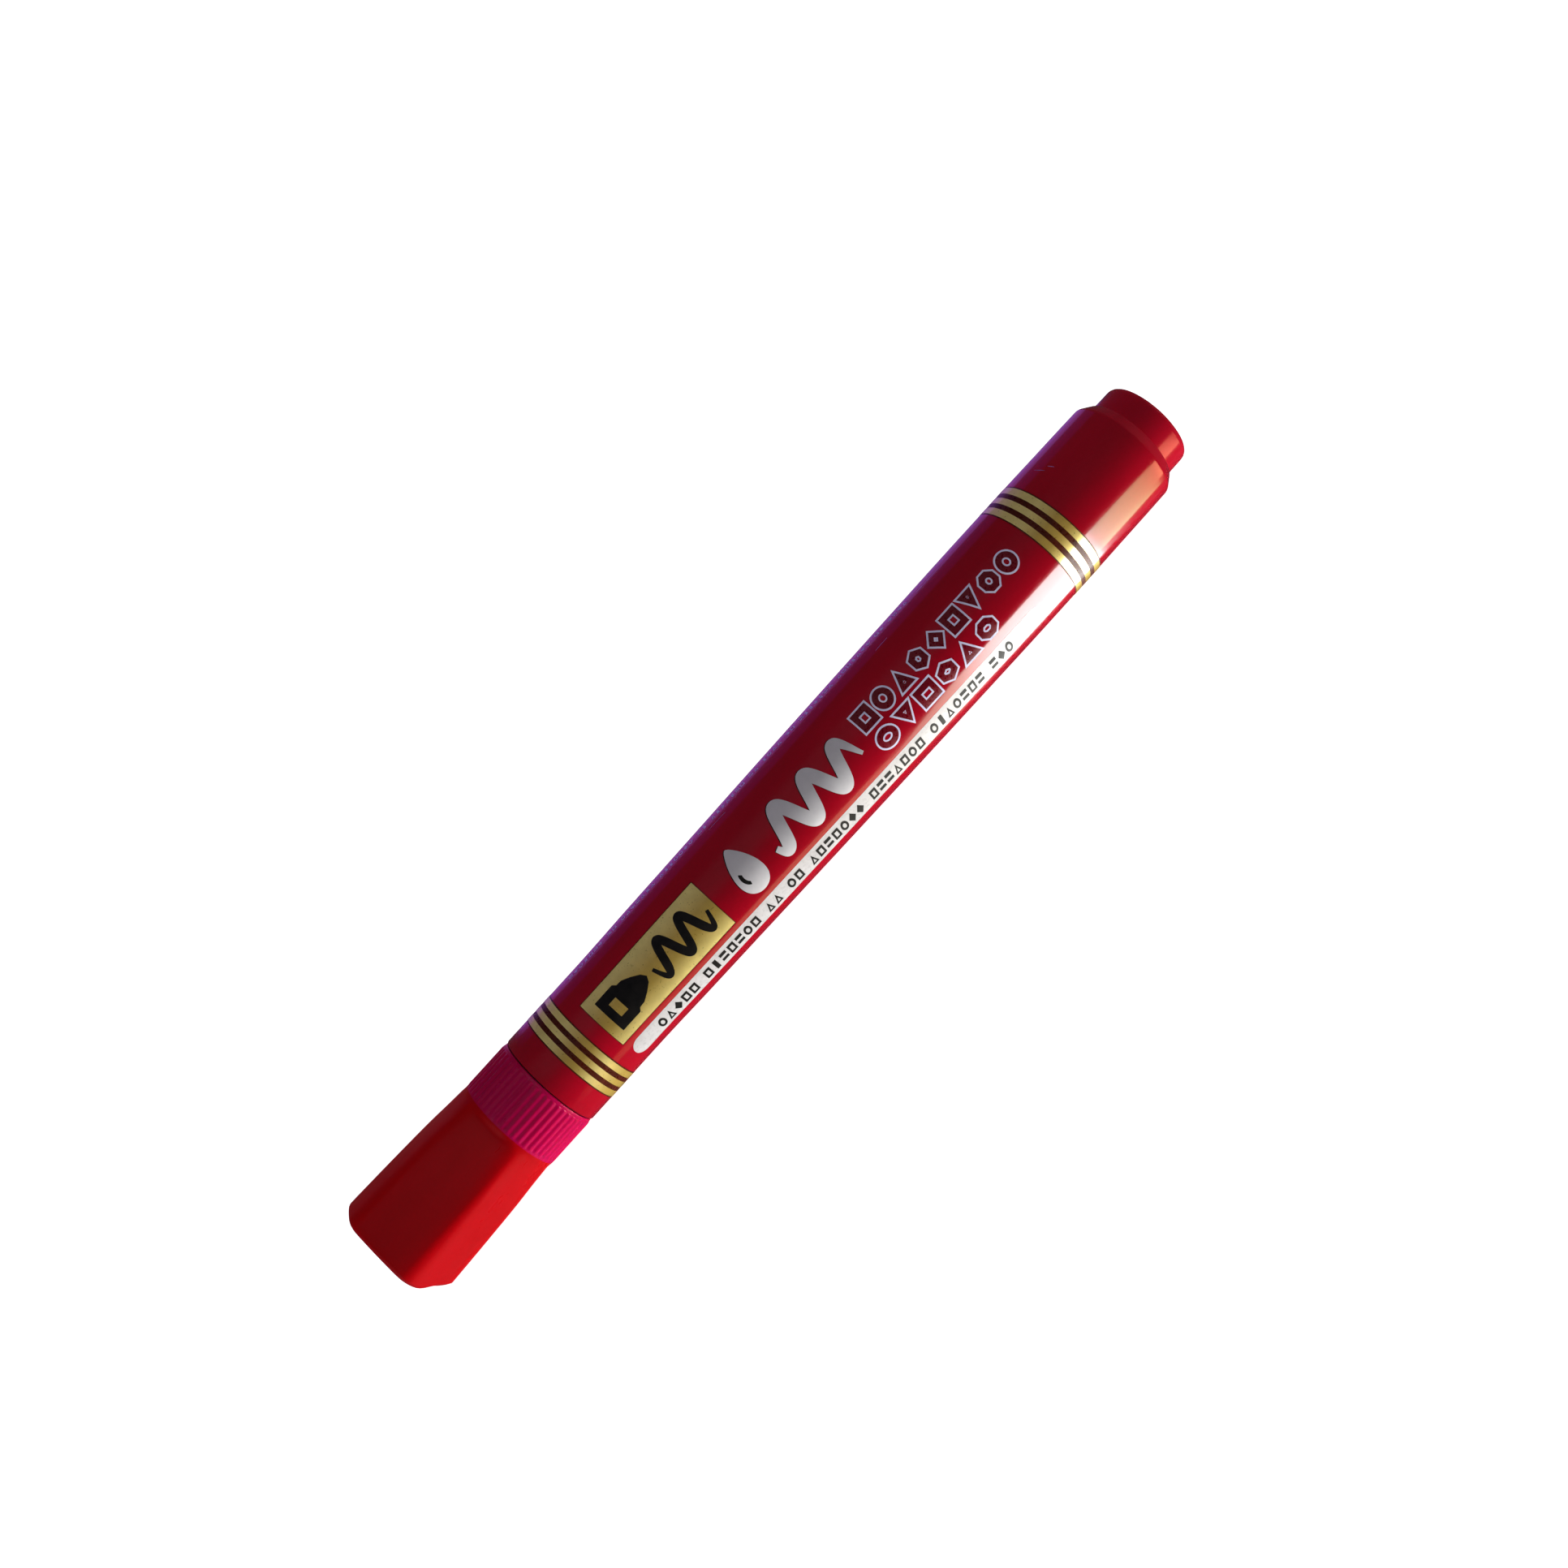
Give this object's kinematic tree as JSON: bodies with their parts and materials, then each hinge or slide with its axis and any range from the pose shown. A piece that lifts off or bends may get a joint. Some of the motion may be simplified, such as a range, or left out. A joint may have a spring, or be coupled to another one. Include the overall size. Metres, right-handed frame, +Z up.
{
  "type": "felt tip marker",
  "caption": "Capped bullet-tip permanent marker: tapered barrel with a stepped end plug, and a six-sided cap with a ribbed collar that pulls off.",
  "frame": {"origin": "under the middle of the marker, on the surface it lies on", "axes": "+X along the marker from the cap's closed end to the end plug; +Z up, with a wide flat of the cap on top"},
  "size_m": [0.14, 0.0164, 0.0156],
  "materials": {
    "cap_plastic": "gloss moulded polypropylene, red",
    "liner_plastic": "soft natural polyethylene",
    "barrel_plastic": "gloss moulded polypropylene, red, with printed decoration",
    "plug_plastic": "gloss moulded polypropylene, red",
    "holder_plastic": "satin moulded polypropylene, black",
    "felt": "pressed acrylic felt soaked with red ink",
    "ink_fibre": "polyester fibre bundle soaked with red ink",
    "film": "thin clear polypropylene film"
  },
  "bodies": {
    "marker": {"barrel": "barrel_plastic", "tail_plug": "plug_plastic", "nib_holder": "holder_plastic", "nib": "felt", "ink_reservoir": "ink_fibre", "reservoir_film": "film"},
    "cap": {"cap_shell": "cap_plastic", "inner_cap": "liner_plastic"}
  },
  "joints": [
    {"name": "cap_pull", "type": "slide", "parent": "marker", "child": "cap", "axis": [-1, 0, 0], "range_m": [0, 0.045]}
  ]
}
